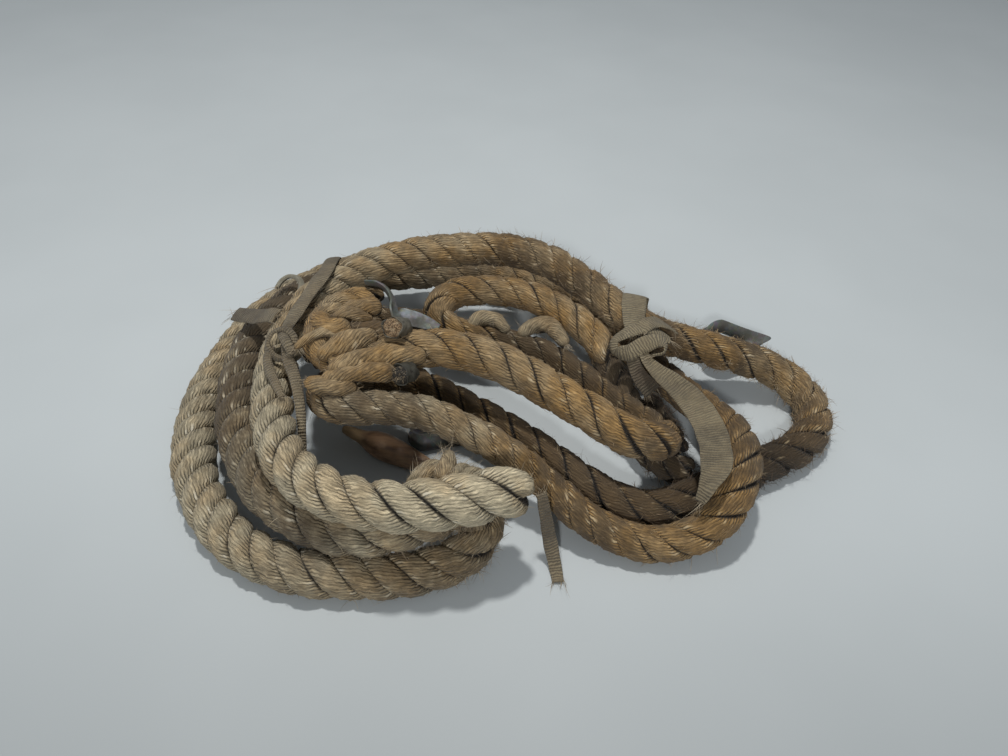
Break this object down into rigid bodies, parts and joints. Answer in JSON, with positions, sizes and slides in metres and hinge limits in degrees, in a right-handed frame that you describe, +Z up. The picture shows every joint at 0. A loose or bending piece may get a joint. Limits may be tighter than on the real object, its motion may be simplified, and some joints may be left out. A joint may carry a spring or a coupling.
{
  "type": "coiled frayed rope",
  "caption": "Heap of thick three-strand natural-fibre rope, coiled, frayed and tied with webbing, with galvanised thimbles and a wooden toggle.",
  "frame": {"origin": "on the surface, under the middle of the heap's box", "axes": "+X along the heap's length, to the right as first seen; +Y away from the viewer; +Z up"},
  "size_m": [0.6516, 0.5015, 0.141],
  "materials": {
    "rope": "weathered grey-beige natural-fibre rope, fuzzy, with dark grime in the grooves",
    "tan_rope": "tan natural-fibre rope, less weathered",
    "webbing": "flat woven webbing, soiled olive-grey with cross ribs",
    "brown_webbing": "narrow brown webbing, crumpled and soiled",
    "galvanised": "dull galvanised steel, stained",
    "wood": "dark brown polished hardwood, worn",
    "binding": "dark grey binding round a strand end"
  },
  "bodies": {
    "root": {"long_rope": "rope", "short_rope": "tan_rope", "right_tie_band": "webbing", "right_tie_knot": "webbing", "right_tie_tail": "webbing", "right_tie_stub": "webbing", "left_tie_band": "brown_webbing", "left_tie_knot": "brown_webbing", "left_tie_flat_tail": "brown_webbing", "left_tie_tail": "brown_webbing", "left_tie_loop": "brown_webbing", "left_tie_curl": "brown_webbing", "hanging_tail": "brown_webbing", "eye_thimble": "galvanised", "loop_thimble": "galvanised", "low_thimble": "galvanised", "toggle": "wood", "strand_end_upper": "binding", "strand_end_lower": "binding"}
  },
  "joints": []
}
